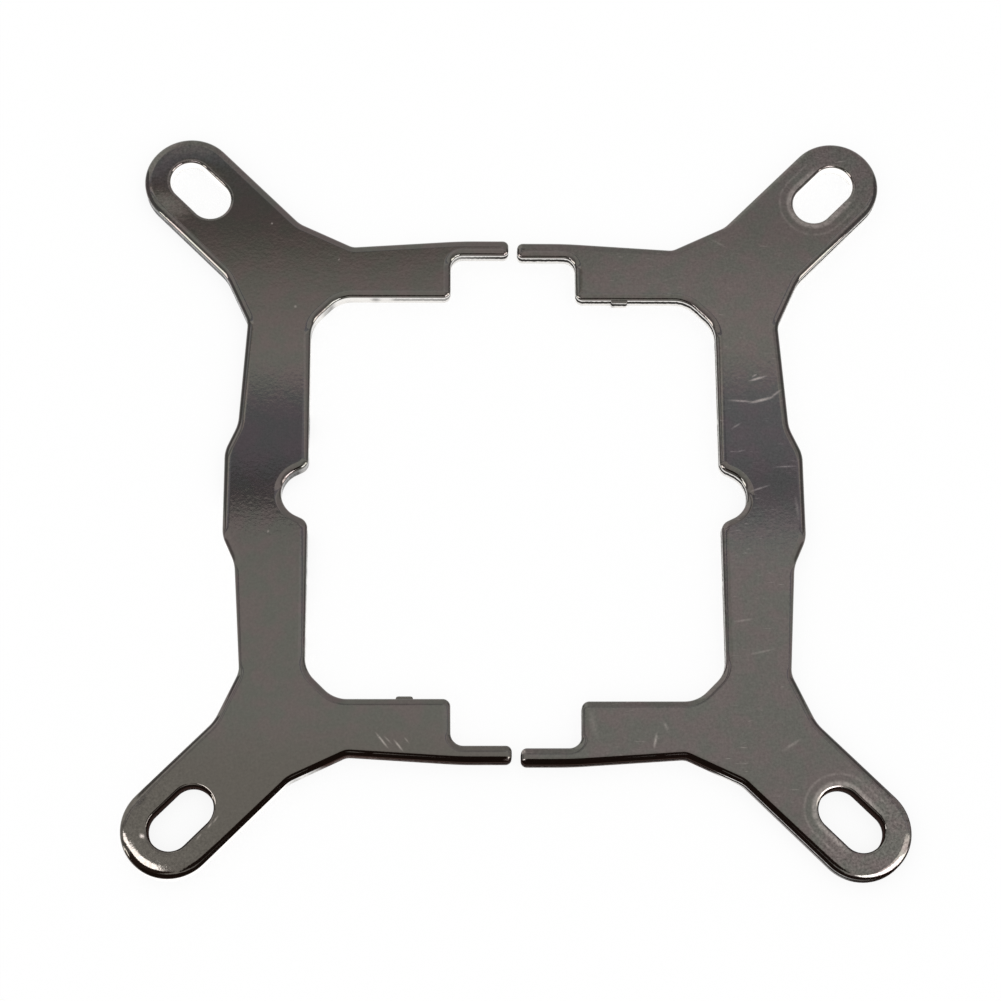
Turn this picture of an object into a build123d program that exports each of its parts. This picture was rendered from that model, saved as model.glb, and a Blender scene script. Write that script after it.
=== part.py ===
from build123d import *

import os
from math import cos, radians, sin, sqrt, tan

# Bracket that clamps a processor cooler to its board, in two equal stamped steel halves.
# Sizes are in millimetres: X runs from the left half to the right half, Y runs to the
# rear and Z runs up from the surface that both halves lie on.
# The right half is drawn where its slots lie on the square screw patterns. It is then
# moved towards the left half until the finger tips nearly meet, and slips a little
# forward, because the two loose halves lie like that.

# Square screw patterns that the slots reach, centre to centre along X and along Y
small_pattern = 75.0
large_pattern = 80.0
slot_width = 4.9

# Sheet, with the rounded upper edge that the die leaves and bevelled slot rims
thickness = 2.0
outline_roll = 0.5
slot_bevel = 0.35

# Window between the halves, at the square position
window_width = 50.0
window_depth = 49.6
window_corner_cut = 3.4
window_corner_radius = 3.7

# Recess beside each pair of fingers, and the fingers that close it
recess_width = 16.4
recess_depth = 5.5
recess_edge_radius = 0.9
recess_root_radius = 1.5
finger_width = 1.95
finger_tip_radius = 0.7
finger_tip_inset = 1.17

# How the loose halves lie: gap between the finger tips, and slip of each half along Y
finger_gap = 1.05
half_slip = 0.15

# Outer edge of an arm, from the finger to the round end
finger_straight = 5.8
finger_taper = 0.85
finger_bend_radius = 50.0
arm_waist_x = 20.1
arm_waist_radius = 1.8
arm_shoulder_x = 26.6
arm_shoulder_radius = 3.4
arm_width = 11.15

# Outer edge of the bar, from the arm to the raised middle
bar_shoulder_y = 27.4
bar_shoulder_radius = 5.0
bar_waist_y = 21.6
bar_waist_width = 7.6
bar_waist_radius = 2.7
bar_step_width = 8.45
bar_step_y = 8.6
bar_step_radius = 4.5
bar_middle_width = 9.95
bar_middle_y = 5.25
bar_middle_radius = 4.0

# Half-round notch in the bar, with rounded lips
notch_radius = 3.0
notch_depth = 3.15
notch_angle = 64.0
notch_lip_radius = 1.4

# Stub left on one arm where the blank was held in its strip
stub_x = 13.5
stub_width = 2.0
stub_height = 0.3
stub_radius = 0.2

# Places worked out from the sizes, for the rear side of the right half
slot_middle = (small_pattern + large_pattern) / 4
slot_travel = (large_pattern - small_pattern) / sqrt(2)
arm_end = large_pattern / 2
arm_side = arm_width / 2 / sqrt(2)
bar_inner_x = window_width / 2
arm_inner_y = window_depth / 2
finger_inner_y = arm_inner_y + recess_depth
finger_outer_y = finger_inner_y + finger_width
finger_middle_y = finger_inner_y + finger_width / 2
finger_bend_x = finger_tip_inset + finger_straight
notch_centre_x = bar_inner_x + notch_depth - notch_radius
notch_end_x = notch_centre_x + notch_radius * cos(radians(notch_angle))
notch_end_y = notch_radius * sin(radians(notch_angle))
notch_lip_y = notch_end_y + (notch_end_x - bar_inner_x) / tan(radians(notch_angle))
half_shift = finger_tip_inset - finger_gap / 2

# Outline of the rear side, from the finger tip round the arm to the middle of the bar
finger_tip = (finger_tip_inset, finger_middle_y)
arm_edge = [
    finger_tip,
    (finger_tip_inset, finger_outer_y),
    (finger_bend_x, finger_outer_y),
    (arm_waist_x, finger_outer_y - finger_taper),
    (arm_shoulder_x, arm_shoulder_x + 2 * arm_side),
    (arm_end - arm_side, arm_end + arm_side),
]
arm_edge_radii = [finger_tip_radius, finger_bend_radius, arm_waist_radius, arm_shoulder_radius]
bar_edge = [
    (arm_end + arm_side, arm_end - arm_side),
    (bar_shoulder_y + 2 * arm_side, bar_shoulder_y),
    (bar_inner_x + bar_waist_width, bar_waist_y),
    (bar_inner_x + bar_step_width, bar_step_y),
    (bar_inner_x + bar_middle_width, bar_middle_y),
    (bar_inner_x + bar_middle_width, 0),
]
bar_edge_radii = [bar_shoulder_radius, bar_waist_radius, bar_step_radius, bar_middle_radius]

# Outline of the window side, from the end of the notch's arc to the finger tip
window_edge = [
    (notch_end_x, notch_end_y),
    (bar_inner_x, notch_lip_y),
    (bar_inner_x, arm_inner_y - window_corner_cut),
    (bar_inner_x - window_corner_cut, arm_inner_y),
    (recess_width / 2, arm_inner_y),
    (recess_width / 2, finger_inner_y),
    (finger_tip_inset, finger_inner_y),
    finger_tip,
]
window_edge_radii = [
    notch_lip_radius,
    window_corner_radius,
    window_corner_radius,
    recess_edge_radius,
    recess_root_radius,
    finger_tip_radius,
]

half_plane = Plane(origin=(-half_shift, -half_slip, 0))

with BuildPart() as right_half:
    # Flat blank with its two diagonal screw slots
    with BuildSketch(half_plane):
        with BuildLine():
            FilletPolyline(*arm_edge, radius=arm_edge_radii)
            ThreePointArc(arm_edge[-1], (arm_end + arm_side, arm_end + arm_side), bar_edge[0])
            FilletPolyline(*bar_edge, radius=bar_edge_radii)
            CenterArc((notch_centre_x, 0), notch_radius, 0, notch_angle)
            FilletPolyline(*window_edge, radius=window_edge_radii)
            mirror(about=Plane.XZ)
        make_face()
        with PolarLocations(slot_middle * sqrt(2), 2, -45, 90, endpoint=True):
            SlotCenterToCenter(slot_travel, slot_width, mode=Mode.SUBTRACT)
    extrude(amount=thickness)

    # Bevelled slot rims, then the rounded upper edge along the outline
    upper_face = right_half.faces().sort_by(Axis.Z)[-1]
    chamfer(upper_face.inner_wires().edges(), slot_bevel)
    upper_face = right_half.faces().sort_by(Axis.Z)[-1]
    fillet(upper_face.outer_wire().edges(), outline_roll)

    # Sheared stub on the rear arm, below the rounded edge
    with BuildSketch(half_plane):
        with Locations((stub_x, arm_inner_y)):
            stub = Rectangle(stub_width, 2 * stub_height)
        fillet(stub.vertices(), stub_radius)
    extrude(amount=thickness - outline_roll)

# The left half is the same stamping turned half a turn
with BuildPart() as left_half:
    add(right_half.part, rotation=(0, 0, 180))

os.makedirs("parts", exist_ok=True)
right_half.part.label = "right_half"
left_half.part.label = "left_half"
export_step(right_half.part, "parts/right_half.step")
export_step(left_half.part, "parts/left_half.step")
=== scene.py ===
from math import acos, atan2, cos, pi, radians, sin, sqrt, tan

import bmesh
import bpy
from mathutils import Matrix, Vector


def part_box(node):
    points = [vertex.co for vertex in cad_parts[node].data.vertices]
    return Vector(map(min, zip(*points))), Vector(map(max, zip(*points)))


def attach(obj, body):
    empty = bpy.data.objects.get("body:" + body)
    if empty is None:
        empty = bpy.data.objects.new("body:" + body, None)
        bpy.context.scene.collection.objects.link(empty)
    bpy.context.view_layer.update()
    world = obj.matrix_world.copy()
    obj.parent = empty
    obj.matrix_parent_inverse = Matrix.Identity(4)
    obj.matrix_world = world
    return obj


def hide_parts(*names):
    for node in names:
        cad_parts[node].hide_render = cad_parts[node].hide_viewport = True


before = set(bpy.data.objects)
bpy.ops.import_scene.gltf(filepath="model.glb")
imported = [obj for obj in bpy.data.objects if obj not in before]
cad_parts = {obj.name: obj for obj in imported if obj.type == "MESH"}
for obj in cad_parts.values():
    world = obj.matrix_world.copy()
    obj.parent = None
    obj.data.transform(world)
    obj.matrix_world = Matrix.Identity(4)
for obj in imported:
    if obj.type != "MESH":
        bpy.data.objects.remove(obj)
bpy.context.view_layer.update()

# Lengths below are in millimetres, and the scene itself is in metres.
MM = 0.001

# The square screw patterns that the diagonal slots reach
SMALL_PATTERN = 75.0
LARGE_PATTERN = 80.0
SLOT_WIDTH = 4.9

# Sheet and its edges: the round that the die leaves above, and the slight break below
THICKNESS = (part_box("right_half")[1].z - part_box("right_half")[0].z) / MM
ROLL_WIDTH = 0.9
ROLL_HEIGHT = 0.5
SLOT_ROLL = 0.42
LOWER_BREAK = 0.05
ROLL_STEPS = 12

# Longest edge left along the outline, and how near two points count as one place
OUTLINE_STEP = 0.5
CLOSE = 0.05

# Window side of the right half, where its slots lie on the patterns
BAR_INNER_X = 25.0
ARM_INNER_Y = 24.8
WINDOW_CORNER_CUT = 3.4
WINDOW_CORNER_RADIUS = 3.7
RECESS_WIDTH = 16.4
RECESS_DEPTH = 5.5
RECESS_EDGE_RADIUS = 0.9
RECESS_ROOT_RADIUS = 1.5
FINGER_WIDTH = 1.95
FINGER_TIP_RADIUS = 0.7
FINGER_TIP_INSET = 1.17

# How the two loose halves lie
FINGER_GAP = 1.05
HALF_SLIP = 0.15

# Outer side of an arm
FINGER_STRAIGHT = 5.8
FINGER_TAPER = 0.85
FINGER_BEND_RADIUS = 50.0
ARM_WAIST_X = 20.1
ARM_WAIST_RADIUS = 1.8
ARM_SHOULDER_X = 26.6
ARM_SHOULDER_RADIUS = 3.4
ARM_WIDTH = 11.15

# Outer side of the bar
BAR_SHOULDER_Y = 27.4
BAR_SHOULDER_RADIUS = 5.0
BAR_WAIST_Y = 21.6
BAR_WAIST_WIDTH = 7.6
BAR_WAIST_RADIUS = 2.7
BAR_STEP_WIDTH = 8.45
BAR_STEP_Y = 8.6
BAR_STEP_RADIUS = 4.5
BAR_MIDDLE_WIDTH = 9.95
BAR_MIDDLE_Y = 5.25
BAR_MIDDLE_RADIUS = 4.0

# Half-round notch in the bar
NOTCH_RADIUS = 3.0
NOTCH_DEPTH = 3.15
NOTCH_ANGLE = radians(64)
NOTCH_LIP_RADIUS = 1.4

# Sheared stub on one arm
STUB_X = 13.5
STUB_WIDTH = 2.0
STUB_HEIGHT = 0.3
STUB_RADIUS = 0.28

# The camera stands before the bracket and looks down on it
CAMERA_PLACE = (-8.25, -93.09, 294.47)
CAMERA_TILT = 0.3063
CAMERA_PAN = -0.0712
CAMERA_ROLL = 0.0693
PHOTO_SIZE = 1001
FOCAL_PIXELS = 2604
SENSOR_WIDTH = 36.0

# Colours of the plating, mottled and to the left front, and of what wear lays bare, which also
# paints two highlights at the finger tips
PLATING_GREEN = (0.130, 0.130, 0.117, 1)
PLATING_RED = (0.147, 0.127, 0.122, 1)
PLATING_BROWN = (0.131, 0.121, 0.108, 1)
RUBBED_STEEL_AND_GLINT = (0.55, 0.5, 0.47, 1)

# Painted light and shade on the sheared walls: lit and shaded copies of their steel, set by place,
# and a painted dark line of shade along the line where they tore
LIT_STEEL = (0.95, 0.93, 0.9, 1)
PLAIN_STEEL = (0.72, 0.7, 0.67, 1)
GREY_STEEL = (0.22, 0.2, 0.19, 1)
SHADED_SLOT_STEEL = (0.15, 0.14, 0.13, 1)
SHADED_TIP_STEEL = (0.1, 0.09, 0.08, 1)
SHADED_STEEL = (0.03, 0.027, 0.025, 1)
SHADE_LINE = (0.02, 0.017, 0.015, 1)

# Height to which the walls are torn, how near to a slot's line a wall is the slot's own,
# and how far from that line the two rings lie that washers rubbed
TORN_HEIGHT = 1.0
SLOT_REACH = 3.0
WASHER_RING = 2.95
FAINT_RING = 4.1

# Scratches, and two painted highlights at the finger tips, from pixel to pixel of the photograph,
# each with its width in millimetres and its strength
SCRATCHES_AND_GLINTS = {
    ((749, 381), (766, 376)): (0.20, 0.96),
    ((752, 377), (757, 374)): (0.15, 0.60),
    ((728, 400), (755, 402)): (0.18, 0.54),
    ((750, 403), (774, 397)): (0.25, 0.84),
    ((770, 398), (782, 389)): (0.2, 0.5),
    ((731, 429), (741, 423)): (0.16, 0.35),
    ((736, 452), (745, 450)): (0.14, 0.3),
    ((774, 467), (797, 466)): (0.14, 0.4),
    ((749, 492), (770, 485)): (0.16, 0.4),
    ((795, 494), (800, 524)): (0.3, 0.2),
    ((732, 622), (753, 619)): (0.2, 0.2),
    ((747, 655), (775, 649)): (0.2, 0.2),
    ((782, 751), (801, 739)): (0.25, 0.25),
    ((709, 238), (727, 248)): (0.2, 0.15),
    ((376, 733), (388, 748)): (0.16, 0.72),
    ((384, 736), (392, 744)): (0.12, 0.3),
    ((394, 740), (403, 751)): (0.16, 0.72),
    ((404, 737), (409, 743)): (0.12, 0.3),
    ((139, 834), (145, 838)): (0.3, 1.0),
    ((207, 829), (212, 822)): (0.14, 0.5),
    ((213, 823), (218, 816)): (0.14, 0.5),
    ((196, 840), (201, 834)): (0.14, 0.4),
    # These two are painted highlights on the rounded edges at the finger tips.
    ((503, 760), (510, 759)): (0.2, 1.0),
    ((519, 749), (525, 753)): (0.35, 1.0),
    ((657, 733), (654, 748)): (0.22, 0.5),
    ((663, 721), (669, 732)): (0.3, 0.2),
    ((589, 708), (597, 738)): (0.5, 0.12),
    ((271, 223), (273, 224)): (0.2, 0.8),
    ((338, 259), (340, 260)): (0.2, 0.6),
    ((294, 306), (297, 307)): (0.2, 0.6),
    ((267, 531), (269, 532)): (0.25, 0.84),
}

# The floor, the share of it that glows and so takes no shadow, how bright it is in
# reflections, and how bright the reflected lamps are
FLOOR_WIDTH = 4000.0
FLOOR_GLOW = 0.86
FLOOR_GLOSS = 1.2
LAMP_LEVEL = 7.0

# Reflected colour of the ceiling over each half, by degrees from overhead to the rear,
# within a span that holds them all
CEILING_SPAN = (8, 31)
LEFT_CEILING = [
    (9.0, (0.92, 0.915, 0.885)),
    (15.7, (0.92, 0.915, 0.885)),
    (16.5, (0.87, 0.86, 0.84)),
    (17.2, (0.92, 0.91, 0.89)),
    (17.45, (0.22, 0.215, 0.225)),
    (17.9, (0.215, 0.21, 0.23)),
    (18.2, (0.5, 0.49, 0.56)),
    (19.85, (0.49, 0.49, 0.56)),
    (20.05, (0.88, 0.86, 0.85)),
    (20.4, (0.98, 0.96, 0.93)),
    (21.8, (0.86, 0.82, 0.79)),
    (22.4, (0.77, 0.73, 0.70)),
    (23.0, (0.55, 0.52, 0.48)),
    (23.5, (0.37, 0.345, 0.33)),
    (24.5, (0.38, 0.37, 0.37)),
    (25.5, (0.45, 0.46, 0.49)),
    (26.6, (0.49, 0.5, 0.54)),
    (28.0, (0.56, 0.56, 0.6)),
    (30.0, (0.82, 0.81, 0.79)),
]
RIGHT_CEILING = [
    (9.0, (0.96, 0.94, 0.93)),
    (15.7, (1.02, 1.01, 1.0)),
    (16.3, (1.05, 1.03, 1.03)),
    (16.9, (0.89, 0.91, 0.97)),
    (17.35, (0.56, 0.58, 0.63)),
    (17.9, (0.43, 0.42, 0.48)),
    (18.4, (0.66, 0.65, 0.73)),
    (19.8, (0.65, 0.65, 0.74)),
    (20.1, (0.76, 0.77, 0.82)),
    (20.6, (1.08, 1.04, 1.02)),
    (21.6, (1.05, 1.0, 0.99)),
    (22.5, (0.94, 0.91, 0.9)),
    (23.6, (0.77, 0.75, 0.73)),
    (24.5, (0.81, 0.79, 0.8)),
    (27.0, (0.76, 0.73, 0.73)),
]


def deselect():
    """Leaves object mode with nothing selected."""
    if bpy.context.object and bpy.context.object.mode != "OBJECT":
        bpy.ops.object.mode_set(mode="OBJECT")
    bpy.ops.object.select_all(action="DESELECT")


def pick(piece, kind, wanted):
    """In edit mode, selects the vertices, edges or faces of a piece that wanted() accepts."""
    bpy.ops.mesh.select_mode(type=kind)
    bpy.ops.mesh.select_all(action="DESELECT")
    mesh = bmesh.from_edit_mesh(piece.data)
    mesh.normal_update()
    for part in {"VERT": mesh.verts, "EDGE": mesh.edges, "FACE": mesh.faces}[kind]:
        if wanted(part):
            part.select_set(True)
    mesh.select_flush_mode()
    bmesh.update_edit_mesh(piece.data)


def outline_corners():
    """Corners of the right half's outline with their radii, anticlockwise seen from above."""
    side = ARM_WIDTH / 2 / sqrt(2)
    end = LARGE_PATTERN / 2
    notch_centre = BAR_INNER_X + NOTCH_DEPTH - NOTCH_RADIUS
    notch_end_x = notch_centre + NOTCH_RADIUS * cos(NOTCH_ANGLE)
    notch_end_y = NOTCH_RADIUS * sin(NOTCH_ANGLE)
    notch_lip_y = notch_end_y + (notch_end_x - BAR_INNER_X) / tan(NOTCH_ANGLE)
    finger_inner_y = ARM_INNER_Y + RECESS_DEPTH
    finger_outer_y = finger_inner_y + FINGER_WIDTH
    rear = [
        (BAR_INNER_X + BAR_MIDDLE_WIDTH, BAR_MIDDLE_Y, BAR_MIDDLE_RADIUS),
        (BAR_INNER_X + BAR_STEP_WIDTH, BAR_STEP_Y, BAR_STEP_RADIUS),
        (BAR_INNER_X + BAR_WAIST_WIDTH, BAR_WAIST_Y, BAR_WAIST_RADIUS),
        (BAR_SHOULDER_Y + 2 * side, BAR_SHOULDER_Y, BAR_SHOULDER_RADIUS),
        (end + 2 * side, end, ARM_WIDTH / 2),
        (end, end + 2 * side, ARM_WIDTH / 2),
        (ARM_SHOULDER_X, ARM_SHOULDER_X + 2 * side, ARM_SHOULDER_RADIUS),
        (ARM_WAIST_X, finger_outer_y - FINGER_TAPER, ARM_WAIST_RADIUS),
        (FINGER_TIP_INSET + FINGER_STRAIGHT, finger_outer_y, FINGER_BEND_RADIUS),
        (FINGER_TIP_INSET, finger_outer_y, FINGER_TIP_RADIUS),
        (FINGER_TIP_INSET, finger_inner_y, FINGER_TIP_RADIUS),
        (RECESS_WIDTH / 2, finger_inner_y, RECESS_ROOT_RADIUS),
        (RECESS_WIDTH / 2, ARM_INNER_Y, RECESS_EDGE_RADIUS),
        (BAR_INNER_X - WINDOW_CORNER_CUT, ARM_INNER_Y, WINDOW_CORNER_RADIUS),
        (BAR_INNER_X, ARM_INNER_Y - WINDOW_CORNER_CUT, WINDOW_CORNER_RADIUS),
        (BAR_INNER_X, notch_lip_y, NOTCH_LIP_RADIUS),
        (notch_centre + NOTCH_RADIUS, NOTCH_RADIUS * tan(NOTCH_ANGLE / 2), NOTCH_RADIUS),
    ]
    front = [(x, -y, radius) for x, y, radius in reversed(rear)]
    return rear + front


def turn_at(before, corner, after):
    """Angle by which the outline turns at a corner."""
    first = atan2(corner[1] - before[1], corner[0] - before[0])
    second = atan2(after[1] - corner[1], after[0] - corner[0])
    return abs((second - first + pi) % (2 * pi) - pi)


def draw_blank(corners, shift):
    """A flat blank: one vertex walked round the corners, filled, and each corner rounded."""
    places = [Vector((x, y, 0)) * MM + shift for x, y, radius in corners]
    deselect()
    bpy.ops.mesh.primitive_plane_add(size=MM, location=places[0])
    blank = bpy.context.object
    bpy.ops.object.transform_apply(location=True)
    bpy.ops.object.mode_set(mode="EDIT")
    bpy.ops.mesh.select_mode(type="VERT")
    bpy.ops.mesh.select_all(action="SELECT")
    bpy.ops.mesh.merge(type="CENTER")
    for here, there in zip(places, places[1:]):
        step = {"value": there - here}
        bpy.ops.mesh.extrude_vertices_move(TRANSFORM_OT_translate=step)
    bpy.ops.mesh.select_all(action="SELECT")
    bpy.ops.mesh.edge_face_add()
    for number, (x, y, radius) in enumerate(corners):
        turn = turn_at(corners[number - 1], (x, y), corners[(number + 1) % len(corners)])
        round_corner(blank, places[number], turn, radius * MM)
    bpy.ops.mesh.select_all(action="SELECT")
    bpy.ops.mesh.remove_doubles(threshold=0.002 * MM)
    longest = max(edge.calc_length() for edge in bmesh.from_edit_mesh(blank.data).edges)
    while longest > OUTLINE_STEP * MM:
        pick(blank, "EDGE", lambda edge: edge.calc_length() > OUTLINE_STEP * MM)
        bpy.ops.mesh.subdivide(number_cuts=1)
        longest = longest / 2
    return blank


def round_corner(piece, place, turn, radius):
    """Rounds one corner of a flat blank to a true arc."""
    near = 0.001 * MM
    pick(piece, "VERT", lambda vertex: (vertex.co - place).length < near)
    lean = cos(turn / 2)
    true_arc = ((1 + 2 * lean) / (2 + 2 * lean)) ** 2
    bpy.ops.mesh.bevel(
        affect="VERTICES",
        offset=radius * tan(turn / 2),
        segments=max(3, round(turn / radians(5))),
        profile=true_arc,
        clamp_overlap=False,
    )


def arc_centre(before, corner, after, radius):
    """Centre of the arc that rounds a corner of the outline."""
    to_before = (Vector(before[:2]) - Vector(corner[:2])).normalized()
    to_after = (Vector(after[:2]) - Vector(corner[:2])).normalized()
    half = to_before.angle(to_after) / 2
    return Vector(corner[:2]) + (to_before + to_after).normalized() * radius / sin(half)


def raise_plate(blank, corners, shift):
    """Gives the blank its thickness, and draws its upper edge in over the die's round."""
    pick(blank, "FACE", lambda face: True)
    wall = {"value": (0, 0, (THICKNESS - ROLL_HEIGHT) * MM)}
    bpy.ops.mesh.extrude_region_move(TRANSFORM_OT_translate=wall)
    bpy.ops.mesh.select_all(action="SELECT")
    bpy.ops.mesh.normals_make_consistent(inside=False)
    pick(blank, "FACE", lambda face: face.normal.z > 0.9)
    # One inset ends just where the arcs of the finger tips have shrunk to points.
    tip_turn = acos(1 - FINGER_TIP_RADIUS / ROLL_WIDTH)
    turns = [tip_turn * step / ROLL_STEPS for step in range(ROLL_STEPS + 1)]
    turns += [(tip_turn + pi / 2) / 2, pi / 2]
    for start, end in zip(turns, turns[1:]):
        bpy.ops.mesh.inset(
            thickness=ROLL_WIDTH * (cos(start) - cos(end)) * MM,
            depth=ROLL_HEIGHT * (sin(end) - sin(start)) * MM,
        )
        drawn_in = ROLL_WIDTH * (1 - cos(end))
        for number, corner in enumerate(corners):
            if abs(corner[2] - drawn_in) < CLOSE:
                after = corners[(number + 1) % len(corners)]
                centre = arc_centre(corners[number - 1], corner, after, corner[2]) * MM
                close_corner(blank, centre + shift.xy)
        top = max(vertex.co.z for vertex in bmesh.from_edit_mesh(blank.data).verts)
        pick(blank, "FACE", lambda face: face.normal.z > 0.9 and is_level(face, top))


def close_corner(piece, centre):
    """Joins what is left of a corner's arc where the insets have shrunk it to a point."""
    top = max(vertex.co.z for vertex in bmesh.from_edit_mesh(piece.data).verts)
    near = CLOSE * MM
    pick(
        piece,
        "VERT",
        lambda vertex: vertex.co.z > top - near and (vertex.co.xy - centre).length < near,
    )
    bpy.ops.mesh.remove_doubles(threshold=near)


def is_level(part, height):
    """True for an edge or face that lies flat at a height."""
    return all(abs(vertex.co.z - height) < 0.001 * MM for vertex in part.verts)


def cut_slot(plate, centre, angle):
    """Cuts one diagonal screw slot through a plate."""
    travel = (LARGE_PATTERN - SMALL_PATTERN) / sqrt(2) * MM
    sides = 64
    deselect()
    bpy.ops.mesh.primitive_cylinder_add(
        vertices=sides,
        radius=SLOT_WIDTH / 2 * MM,
        depth=4 * THICKNESS * MM,
        rotation=(0, 0, angle + pi / sides),
    )
    cutter = bpy.context.object
    bpy.ops.object.transform_apply(rotation=True)
    along = Vector((cos(angle), sin(angle), 0))
    bpy.ops.object.mode_set(mode="EDIT")
    for way in (-1, 1):
        pick(cutter, "VERT", lambda vertex: vertex.co.dot(along) * way > 0)
        bpy.ops.transform.translate(value=along * way * travel / 2)
    pick(cutter, "EDGE", lambda edge: abs(edge.calc_length() - travel) < travel / 4)
    bpy.ops.mesh.subdivide(number_cuts=8)
    bpy.ops.mesh.select_all(action="SELECT")
    bpy.ops.transform.translate(value=centre)
    deselect()
    use_boolean(plate, cutter, "DIFFERENCE")


def use_boolean(piece, tool, operation):
    """Applies a Boolean of a tool to a piece and deletes the tool."""
    make_active(piece)
    change = piece.modifiers.new("Cut", "BOOLEAN")
    change.object = tool
    change.operation = operation
    change.solver = "EXACT"
    bpy.ops.object.modifier_apply(modifier=change.name)
    bpy.data.objects.remove(tool)


def make_active(piece):
    """Leaves object mode with only this piece selected."""
    deselect()
    piece.select_set(True)
    bpy.context.view_layer.objects.active = piece


def is_rim(edge, height):
    """True for an edge between the flat face at a height and a wall."""
    square = len(edge.link_faces) == 2 and edge.calc_face_angle() > radians(60)
    return square and is_level(edge, height)


def roll_rims(piece, height, width, steps):
    """Rounds every square rim at a height."""
    pick(piece, "EDGE", lambda edge: is_rim(edge, height))
    bpy.ops.mesh.bevel(
        affect="EDGES", offset=width, segments=steps, profile=0.5, clamp_overlap=False
    )


def add_stub(half, shift):
    """Adds the sheared stub to the inner wall of the rear arm."""
    height = (THICKNESS - ROLL_HEIGHT) * MM
    deselect()
    bpy.ops.mesh.primitive_cube_add(size=1)
    stub = bpy.context.object
    stub.scale = (STUB_WIDTH * MM, 2 * STUB_HEIGHT * MM, height)
    stub.location = Vector((STUB_X, ARM_INNER_Y, 0)) * MM + shift + Vector((0, 0, height / 2))
    bpy.ops.object.transform_apply(location=True, scale=True)
    bpy.ops.object.mode_set(mode="EDIT")
    pick(stub, "EDGE", lambda edge: abs(edge.verts[0].co.z - edge.verts[1].co.z) > height / 2)
    bpy.ops.mesh.bevel(affect="EDGES", offset=STUB_RADIUS * MM, segments=4)
    deselect()
    use_boolean(half, stub, "UNION")


def stamp_right_half():
    """The right half as it is stamped, before its faces are smoothed."""
    shift = Vector((FINGER_GAP / 2 - FINGER_TIP_INSET, -HALF_SLIP, 0)) * MM
    corners = outline_corners()
    half = draw_blank(corners, shift)
    raise_plate(half, corners, shift)
    middle = (SMALL_PATTERN + LARGE_PATTERN) / 4 * MM
    for way in (-1, 1):
        cut_slot(half, Vector((middle, way * middle, 0)) + shift, way * pi / 4)
    bpy.ops.object.mode_set(mode="EDIT")
    roll_rims(half, THICKNESS * MM, SLOT_ROLL * MM, ROLL_STEPS)
    add_stub(half, shift)
    bpy.ops.object.mode_set(mode="EDIT")
    roll_rims(half, 0, LOWER_BREAK * MM, 2)
    deselect()
    return half


def finish_half(half, node, material):
    """Smooths a half and puts it in place of its solid."""
    make_active(half)
    bpy.ops.object.shade_smooth_by_angle(angle=radians(40))
    weights = half.modifiers.new("Flat faces stay flat", "WEIGHTED_NORMAL")
    weights.keep_sharp = True
    bpy.ops.object.modifier_apply(modifier=weights.name)
    half.name = "plated_" + node
    half.data.materials.clear()
    half.data.materials.append(material)
    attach(half, "root")
    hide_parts(node)


def make_halves(material):
    """Both halves: the left one is a copy of the right one, turned half a turn."""
    right = stamp_right_half()
    make_active(right)
    bpy.ops.object.duplicate()
    left = bpy.context.object
    bpy.ops.object.mode_set(mode="EDIT")
    bpy.ops.mesh.select_all(action="SELECT")
    bpy.ops.transform.rotate(value=pi, orient_axis="Z", center_override=(0, 0, 0))
    deselect()
    finish_half(right, "right_half", material)
    finish_half(left, "left_half", material)


def camera_turn():
    """How the camera is turned."""
    return (
        Matrix.Rotation(CAMERA_PAN, 4, "Z")
        @ Matrix.Rotation(CAMERA_TILT, 4, "X")
        @ Matrix.Rotation(CAMERA_ROLL, 4, "Z")
    )


def make_camera():
    """The camera at the photograph's place and angle."""
    data = bpy.data.cameras.new("camera")
    data.sensor_width = SENSOR_WIDTH
    data.lens = FOCAL_PIXELS / PHOTO_SIZE * SENSOR_WIDTH
    data.clip_start = 0.01
    camera = bpy.data.objects.new("camera", data)
    bpy.context.scene.collection.objects.link(camera)
    camera.matrix_world = Matrix.Translation(Vector(CAMERA_PLACE) * MM) @ camera_turn()
    bpy.context.scene.camera = camera


class Wire:
    """One output of a shader node, which takes part in sums and products."""

    def __init__(self, board, socket):
        self.board = board
        self.socket = socket

    def other(self, number):
        return Wire(self.board, self.socket.node.outputs[number])

    def work_out(self, operation, first, second=0.0):
        return self.board.node("ShaderNodeMath", {"operation": operation}, {0: first, 1: second})

    def __add__(self, other):
        return self.work_out("ADD", self, other)

    def __radd__(self, other):
        return self.work_out("ADD", other, self)

    def __sub__(self, other):
        return self.work_out("SUBTRACT", self, other)

    def __rsub__(self, other):
        return self.work_out("SUBTRACT", other, self)

    def __mul__(self, other):
        return self.work_out("MULTIPLY", self, other)

    def __rmul__(self, other):
        return self.work_out("MULTIPLY", other, self)

    def __truediv__(self, other):
        return self.work_out("DIVIDE", self, other)

    def __abs__(self):
        return self.work_out("ABSOLUTE", self)


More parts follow.
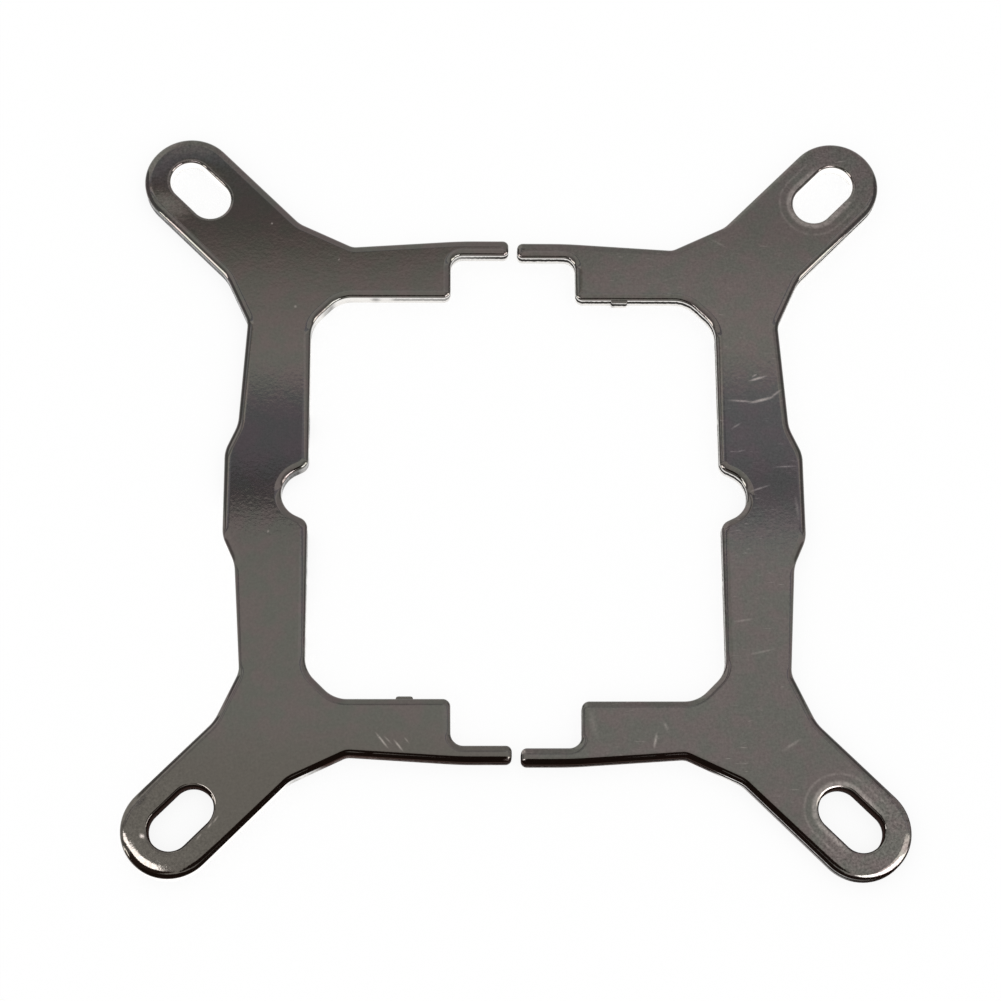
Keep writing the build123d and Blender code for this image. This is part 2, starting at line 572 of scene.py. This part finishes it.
class Board:
    """The nodes of one material, or of the world."""

    def __init__(self, owner):
        owner.use_nodes = True
        self.tree = owner.node_tree
        self.tree.nodes.clear()

    def node(self, kind, settings=None, inputs=None, output=0):
        made = self.tree.nodes.new(kind)
        for name, value in (settings or {}).items():
            if name == "stops":
                self.set_stops(made.color_ramp, value)
            else:
                setattr(made, name, value)
        for name, value in (inputs or {}).items():
            if isinstance(value, Wire):
                self.tree.links.new(value.socket, made.inputs[name])
            else:
                made.inputs[name].default_value = value
        return Wire(self, made.outputs[output]) if len(made.outputs) else None

    def set_stops(self, ramp, stops):
        while len(ramp.elements) > 1:
            ramp.elements.remove(ramp.elements[0])
        for number, (place, colour) in enumerate(stops):
            stop = ramp.elements[0] if number == 0 else ramp.elements.new(place)
            stop.position = place
            stop.color = (*colour, 1)

    def root(self, value):
        return self.node("ShaderNodeMath", {"operation": "SQRT"}, {0: value})

    def angle(self, run, rise):
        return self.node("ShaderNodeMath", {"operation": "ARCTAN2"}, {0: run, 1: rise})

    def largest(self, first, second):
        return self.node("ShaderNodeMath", {"operation": "MAXIMUM"}, {0: first, 1: second})

    def split(self, vector):
        first = self.node("ShaderNodeSeparateXYZ", {}, {0: vector})
        return first, first.other(1), first.other(2)

    def smooth(self, value, low, high, start=0.0, end=1.0):
        """Rises smoothly from start to end as the value goes from low to high."""
        return self.node(
            "ShaderNodeMapRange",
            {"interpolation_type": "SMOOTHSTEP"},
            {"Value": value, "From Min": low, "From Max": high, "To Min": start, "To Max": end},
        )

    def blend(self, share, first, second):
        """A colour between two."""
        inputs = {0: share, 6: first, 7: second}
        return self.node("ShaderNodeMix", {"data_type": "RGBA"}, inputs, 2)

    def tint(self, colour, factor):
        """A colour times a factor."""
        settings = {"data_type": "RGBA", "blend_type": "MULTIPLY"}
        return self.node("ShaderNodeMix", settings, {0: 1.0, 6: colour, 7: factor}, 2)

    def blend_shaders(self, share, first, second):
        return self.node("ShaderNodeMixShader", {}, {0: share, 1: first, 2: second})

    def noise(self, place, scale, detail=2.0, roughness=0.5):
        """Noise with scale features to the millimetre."""
        return self.node(
            "ShaderNodeTexNoise",
            {},
            {"Vector": place, "Scale": scale / MM, "Detail": detail, "Roughness": roughness},
        )


def on_plate(pixel):
    """The place on the plate's upper face that one pixel of the photograph shows."""
    turn = camera_turn()
    sight = turn @ Vector((pixel[0] - PHOTO_SIZE / 2, PHOTO_SIZE / 2 - pixel[1], -FOCAL_PIXELS))
    start = Vector(CAMERA_PLACE)
    return start + sight * ((THICKNESS - start.z) / sight.z)


def stroke(board, place, first, last, width):
    """A mark that fades to its sides and ends, between two pixels of the photograph."""
    start, end = on_plate(first), on_plate(last)
    run = end - start
    middle = (start + end) / 2 * MM
    centred = board.node(
        "ShaderNodeMapping",
        {"vector_type": "TEXTURE"},
        {
            0: place,
            1: (middle.x, middle.y, 0),
            2: (0, 0, atan2(run.y, run.x)),
            3: (run.length * 0.6 * MM, width * MM, 1),
        },
    )
    return board.node("ShaderNodeTexGradient", {"gradient_type": "SPHERICAL"}, {0: centred}, 1)


def scratches_and_glints(board, place):
    """Scratches that the photograph shows, and two painted highlights at the finger tips, as one
    mask.
    """
    total = 0.0
    for (first, last), (width, strength) in SCRATCHES_AND_GLINTS.items():
        total = stroke(board, place, first, last, width) * strength + total
    return total


def slot_distance(board, x, y):
    """Distance from the line of the nearest slot, and the way out along that line."""
    way = board.node("ShaderNodeMath", {"operation": "SIGN"}, {0: x})
    middle = (SMALL_PATTERN + LARGE_PATTERN) / 4
    out_x = abs(x) - (middle + FINGER_GAP / 2 - FINGER_TIP_INSET) * MM
    out_y = abs(y + way * (HALF_SLIP * MM)) - middle * MM
    along = (out_x + out_y) * (1 / sqrt(2))
    across = (out_x - out_y) * (1 / sqrt(2))
    beyond = board.largest(abs(along) - (LARGE_PATTERN - SMALL_PATTERN) / sqrt(8) * MM, 0.0)
    return board.root(beyond * beyond + across * across), along


def right_side(board, x):
    """Soft mask of the right half."""
    return board.smooth(x, -1 * MM, 1 * MM)


def front_side(board, y):
    """Soft mask of the front arms and fingers."""
    return board.smooth(y, -2 * MM, 2 * MM, 1.0, 0.0)


def round_end(board, ring, along):
    """Soft mask of the round ends of the arms."""
    return board.smooth(along, -6 * MM, 2 * MM) * board.smooth(ring, 9 * MM, 4 * MM)


def fine_grain(board, place):
    """The finest unevenness of the plating."""
    return board.noise(place, 2.6, 3.0, 0.6)


def plating_relief(board, place, rise):
    """Height of the plating: its grain, dented edges and dished round ends."""
    x, y = board.split(place)[:2]
    right = right_side(board, x)
    front = front_side(board, y)
    ring, along = slot_distance(board, x, y)
    end = round_end(board, ring, along)

    rough_ends = end * front * (0.0035 * MM) + end * (0.0015 * MM)
    grain = fine_grain(board, place) * (rough_ends + 0.002 * MM)
    waves = board.noise(place, 0.7, 2.0) * (0.0013 * MM)

    # The rounded edges are dented, most of all round the window and before the fingers.
    edge = board.smooth(rise, 0.8, 0.99, 1.0, 0.0)
    window = board.smooth(abs(x), 27 * MM, 26 * MM) * board.smooth(abs(y), 32 * MM, 31 * MM)
    fingers = board.smooth(y, -27 * MM, -30 * MM) * board.smooth(abs(x), 26 * MM, 22 * MM)
    dented = board.largest(window * (0.02 * MM), fingers * (0.018 * MM)) + 0.006 * MM
    dents = board.noise(place, 0.9, 3.0) * (edge * dented)

    # The screws have dished the round ends, but for the rear right one.
    front_dish = board.smooth(ring, 4.1 * MM, 5.3 * MM, 0.07 * MM, 0.0)
    front_dish = front * (1 - right * 0.8) * front_dish
    rear_dish = board.smooth(ring, 2.9 * MM, 5.6 * MM, 0.06 * MM, 0.0)
    rear_dish = (1 - right) * (1 - front) * rear_dish
    dish = (front_dish + rear_dish) * board.smooth(along, -2 * MM, 3 * MM)
    return dish + dents + grain + waves


def plating_wear_and_glints(board, place):
    """Mask of what is scratched and rubbed, with two painted highlights: placed marks, hairlines
    and washer rings.
    """
    x, y = board.split(place)[:2]
    right = right_side(board, x)
    ring, along = slot_distance(board, x, y)
    fine = fine_grain(board, place)
    marks = scratches_and_glints(board, place) * board.smooth(fine, 0.3, 0.5, 0.4, 1.0)

    # Slanting hairlines, mostly on the right half
    slanted = {0: place, 2: (0, 0, radians(-20)), 3: (0.12, 1, 1)}
    slanted = board.node("ShaderNodeMapping", {}, slanted)
    hairs = board.smooth(board.noise(slanted, 4.5, 2.0, 0.6), 0.62, 0.78)
    hairs = hairs * board.smooth(board.noise(place, 0.35, 1.0), 0.45, 0.65)
    hairs = hairs * (right * 0.3 + 0.05)

    # Two broken rings round the inner ends of the right half's slots
    rubbed = board.smooth(board.noise(place, 1.1, 3.0, 0.65), 0.3, 0.6, 0.35, 1.0)
    rings = board.smooth(abs(ring - WASHER_RING * MM), 0.1 * MM, 0.5 * MM, 1.0, 0.0)
    rings = rings + board.smooth(abs(ring - FAINT_RING * MM), 0.0, 0.25 * MM, 0.35, 0.0)
    rings = rings * right * board.smooth(along, 3 * MM, 0) * rubbed
    return board.largest(board.largest(marks, hairs), rings * 0.36)


def worn_plating(board, place, rise):
    """The bright mottled plating with its wear, two painted highlights at the finger tips and a
    painted glow at the front right end.
    """
    x, y = board.split(place)[:2]
    right = right_side(board, x)
    end = round_end(board, *slot_distance(board, x, y))
    front_end = end * front_side(board, y)
    mottle = board.smooth(board.noise(place, 0.4, 3.0), 0.35, 0.65)
    colour = board.blend(mottle, PLATING_GREEN, PLATING_RED)
    left_front = board.smooth(y, -26 * MM, -34 * MM) * (1 - right)
    colour = board.blend(left_front, colour, PLATING_BROWN)
    wear_and_glints = plating_wear_and_glints(board, place)
    colour = board.blend(wear_and_glints, colour, RUBBED_STEEL_AND_GLINT)

    # Speckles, strongest at the round ends, and a painted glow that lightens the front right end
    speckle = board.noise(place, 3.4, 3.0, 0.75)
    spread = 0.5 + end * 0.9 + right * 0.3 + front_end * right * 0.8
    shade = 1 + (speckle - 0.5) * spread + front_end * right * 0.14
    relief = plating_relief(board, place, rise)
    dimple = board.node("ShaderNodeBump", {}, {"Strength": 1.0, "Distance": 1.0, "Height": relief})
    return board.node(
        "ShaderNodeBsdfPrincipled",
        {},
        {
            "Base Color": board.tint(colour, shade),
            "Metallic": 1.0,
            "Roughness": 0.045 + front_end * 0.03 + wear_and_glints * 0.25,
            "Normal": dimple,
        },
    )


def sheared_wall(board, place):
    """Steel of the walls, smooth above and torn below, painted lighter and darker by place, with a
    painted dark line of shade along the torn line.
    """
    x, y, z = board.split(place)
    right = right_side(board, x)
    front = front_side(board, y)
    ring, along = slot_distance(board, x, y)
    in_slot = board.smooth(ring, 3.2 * MM, SLOT_REACH * MM)
    streaks = board.node("ShaderNodeMapping", {}, {0: place, 3: (1, 1, 0.15)})
    tears = board.noise(streaks, 3.0, 4.0, 0.6)
    patches = board.noise(streaks, 0.35, 1.0)

    # Painted light and shade: bright and dark stretches, darker to the left; the left front arm
    # and the rear slots painted bright, the right front arm grey, and its tip and the front slots
    # painted dark
    sunlit = board.smooth(patches + board.smooth(x, -30 * MM, -18 * MM, -0.3, 0.25), 0.35, 0.6)
    steel = board.blend(sunlit, SHADED_STEEL, PLAIN_STEEL)
    arms = front * board.smooth(abs(x), 24 * MM, 27 * MM)
    arm_steel = board.blend(right, LIT_STEEL, GREY_STEEL)
    right_tip = board.smooth(along, 0.0, 3 * MM) * right
    arm_steel = board.blend(right_tip, arm_steel, SHADED_TIP_STEEL)
    steel = board.blend(arms, steel, arm_steel)
    slot_steel = board.blend(front, LIT_STEEL, SHADED_SLOT_STEEL)
    steel = board.blend(in_slot, steel, slot_steel)

    # The torn line wanders, and its painted dark line of shade fades where the wall is whole and
    # in the slots.
    tear_line = TORN_HEIGHT * MM + (tears - 0.5) * (0.5 * MM)
    torn = board.smooth(tear_line - z, -0.06 * MM, 0.06 * MM)
    clean = board.smooth(abs(tear_line - z), 0.28 * MM, 0.42 * MM)
    whole = board.smooth(patches + board.smooth(x, -16 * MM, -12 * MM, 0.2, -0.25), 0.45, 0.6)
    clean = board.largest(clean, board.largest(whole, in_slot))
    shaded_line = (1 - clean) * board.smooth(x, -12 * MM, 0.0, 0.55, 1.0)

    rough = {"Strength": 0.25, "Distance": 0.05 * MM, "Height": tears}
    sheared = board.node(
        "ShaderNodeBsdfPrincipled",
        {},
        {
            "Base Color": steel,
            "Metallic": 1.0,
            "Roughness": torn * 0.25 + board.smooth(tears, 0.3, 0.7, 0.1, 0.25),
            "Normal": board.node("ShaderNodeBump", {}, rough),
        },
    )
    # A painted dark line of shade along the torn height
    line_shading = {"Base Color": SHADE_LINE, "Roughness": 0.8, "Specular IOR Level": 0.1}
    line_shading = board.node("ShaderNodeBsdfPrincipled", {}, line_shading)
    return board.blend_shaders(shaded_line, sheared, line_shading)


def black_nickel():
    """Bright black nickel plating on the faces, and sheared steel in the walls."""
    finish = bpy.data.materials.new("black_nickel_steel")
    board = Board(finish)
    place = board.node("ShaderNodeTexCoord", output=3)
    normal = board.node("ShaderNodeNewGeometry", output=1)
    rise = board.split(normal)[2]
    upright = board.smooth(abs(rise), 0.15, 0.4, 1.0, 0.0)
    plating = worn_plating(board, place, rise)
    wall = sheared_wall(board, place)
    board.node("ShaderNodeOutputMaterial", {}, {0: board.blend_shaders(upright, plating, wall)})
    return finish


def ceiling(board, rear, stops):
    """The ceiling's stepped tones, by the angle from overhead to the rear."""
    low, high = CEILING_SPAN
    span = {"Value": rear, "From Min": radians(low), "From Max": radians(high)}
    share = board.node("ShaderNodeMapRange", {}, span)
    places = [((angle - low) / (high - low), colour) for angle, colour in stops]
    return board.node("ShaderNodeValToRGB", {"stops": places}, {0: share})


def light_studio():
    """Plain level light, with what the mirror-like plating reflects."""
    world = bpy.data.worlds.new("studio")
    bpy.context.scene.world = world
    board = Board(world)
    glossy = board.node("ShaderNodeLightPath").other(3)
    x, y, z = board.split(board.node("ShaderNodeTexCoord"))
    rear = board.angle(y, z)
    across = board.angle(x, z)
    lean = board.angle(board.root(x * x + y * y), z)

    # To the rear, the stepped ceiling, which differs over the two halves
    left = ceiling(board, rear, LEFT_CEILING)
    right = ceiling(board, rear, RIGHT_CEILING)
    above = board.blend(board.smooth(across, -0.03, 0.09), left, right)

    # To the front, a plain ceiling that grows darker down both sides
    down = board.smooth(lean, radians(10), radians(50))
    sides = board.blend(down, (0.7, 0.68, 0.67, 1), (0.42, 0.4, 0.39, 1))
    sideways = board.smooth(abs(x), 0.1, 0.45)
    before = board.blend(sideways, (0.88, 0.86, 0.83, 1), sides)
    base = board.blend(board.smooth(rear, -0.06, 0.12, 1.0, 0.0), above, before)

    # A brighter patch to the left rear, and a low lamp on each side of the front
    glow = board.smooth(x, -0.3, -0.16, 1.35, 1.0) * board.smooth(y, 0.2, 0.3)
    base = board.tint(base, board.largest(glow, 1.0))
    lamp = board.smooth(abs(x), 0.74, 0.82) * board.smooth(y, -0.2, -0.12, 1.0, 0.0)
    lamp = lamp * board.smooth(lean, radians(52), radians(57))
    bright = board.blend(lamp, base, (LAMP_LEVEL, LAMP_LEVEL * 0.98, LAMP_LEVEL * 0.94, 1))
    shown = board.blend(glossy, (1, 1, 1, 1), bright)
    light = board.node("ShaderNodeBackground", {}, {0: shown, 1: 1.0})
    board.node("ShaderNodeOutputWorld", {}, {0: light})


def make_floor():
    """A white floor with a faint shadow; in reflections it carries a painted shadow before the
    bracket.
    """
    deselect()
    bpy.ops.mesh.primitive_plane_add(size=FLOOR_WIDTH * MM)
    floor = bpy.context.object
    floor.name = "floor"
    finish = bpy.data.materials.new("floor_white")
    board = Board(finish)
    path = board.node("ShaderNodeLightPath")
    glossy = path.other(3)
    x, y = board.split(board.node("ShaderNodeTexCoord", output=3))[:2]
    far = board.smooth(board.root(x * x + y * y), 100 * MM, 300 * MM)

    # Left white in reflections, outside that painted shadow: strips beside the front arms, and an
    # arc round the left end
    off_arm = abs(abs(x) + y + 0.8 * MM)
    strip = board.smooth(off_arm, 6.9 * MM, 7.6 * MM)
    strip = strip * board.smooth(off_arm, 10.2 * MM, 9.2 * MM)
    strip = strip * board.smooth(abs(x), 20 * MM, 24 * MM)
    ring, along = slot_distance(board, x, y)
    arc = board.smooth(x, -33 * MM, -36 * MM) * board.smooth(ring, 4.6 * MM, 5.2 * MM)
    arc = arc * board.smooth(along, 0.0, 1.5 * MM)
    dark = board.smooth(y, -31 * MM, -24 * MM, 1.0, 0.0) * (1 - board.largest(strip, arc))
    white = (FLOOR_GLOSS, FLOOR_GLOSS, FLOOR_GLOSS, 1)
    near = board.blend(dark, white, (0.06, 0.035, 0.03, 1))
    mirrored = board.blend(far, near, (1, 1, 1, 1))
    shown = board.blend(glossy, (1, 1, 1, 1), mirrored)
    glow = board.node("ShaderNodeEmission", {}, {0: shown, 1: 1.0})
    paper = board.node("ShaderNodeBsdfDiffuse", {}, {0: (0.99, 0.99, 0.99, 1)})
    steady = board.largest(path * FLOOR_GLOW, glossy)
    shader = board.blend_shaders(steady, paper, glow)
    board.node("ShaderNodeOutputMaterial", {}, {0: shader})
    floor.data.materials.append(finish)


def make_card(name, place, width, height, lean, turn, colour):
    """A card that stands near the bracket and is seen only in its reflections."""
    deselect()
    bpy.ops.mesh.primitive_plane_add(
        size=1, location=Vector(place) * MM, rotation=(pi / 2 - lean, 0, turn)
    )
    card = bpy.context.object
    card.name = name
    card.scale = (width * MM, height * MM, 1)
    card.visible_camera = False
    card.visible_diffuse = False
    card.visible_shadow = False
    finish = bpy.data.materials.new(name + "_paint")
    board = Board(finish)
    paint = board.node("ShaderNodeEmission", {}, {0: (*colour, 1), 1: 1.0})
    board.node("ShaderNodeOutputMaterial", {}, {0: paint})
    card.data.materials.append(finish)


def make_far_card(name, corner, way, fall, reach, width, height, colour):
    """A card set square to a line of sight from a corner of the bracket, in degrees."""
    way, fall = radians(way), radians(fall)
    x, y = corner
    out = reach * sin(fall)
    place = (x + out * cos(way), y + out * sin(way), reach * cos(fall))
    make_card(name, place, width, height, pi / 2 - fall, way + pi / 2, colour)


def make_cards():
    """Lamps and dark things that only the plating's reflections show."""
    black = (0.05, 0.03, 0.025)
    grey = (0.35, 0.34, 0.35)
    lamp = (LAMP_LEVEL * 1.25, LAMP_LEVEL * 1.22, LAMP_LEVEL * 1.25)
    make_card("hood", (0, -60.5, 87.5), 70, 38.3, radians(49.2), 0, black)
    make_card("finger_card", (0, -34.3, 3.35), 46, 6.1, 0, 0, black)
    make_card("left_end_card", (-41, -50.8, 6.5), 18, 12.4, 0, 0, black)
    make_card("right_end_card", (41, -50.8, 4), 18, 7.4, 0, 0, black)
    make_card("left_arm_card", (-25.5, -44.5, 6.2), 24, 11.8, 0, pi / 4, black)
    make_card("right_arm_card", (25.5, -44.5, 6.2), 24, 11.8, 0, -pi / 4, black)
    make_card("left_card", (-90, 46, 31), 60, 60, 0, pi / 2, grey)
    make_card("right_card", (90, 44, 31), 62, 60, 0, pi / 2, grey)
    left_end = (-42, -42)
    right_end = (42, -42)
    side_glow = (3.0, 2.9, 2.8)
    make_far_card("left_lamp", left_end, 180, 16, 80, 18, 28, lamp)
    make_far_card("left_strip", left_end, 173, 37, 80, 11, 40, lamp)
    make_far_card("left_corner", left_end, 217, 38, 75, 40, 84, (0.1, 0.065, 0.055))
    make_far_card("left_low", left_end, 217, 79, 75, 64, 42, (0.08, 0.055, 0.05))
    make_far_card("right_lamp", right_end, -45, 40, 80, 72, 56, lamp)
    make_far_card("right_glow", right_end, -2, 38, 85, 30, 76, side_glow)
    make_far_card("right_corner", right_end, -45, 80, 78, 110, 30, (0.12, 0.09, 0.08))


finish = black_nickel()
make_halves(finish)
make_floor()
make_cards()
light_studio()
make_camera()
bpy.context.scene.view_settings.view_transform = "Standard"
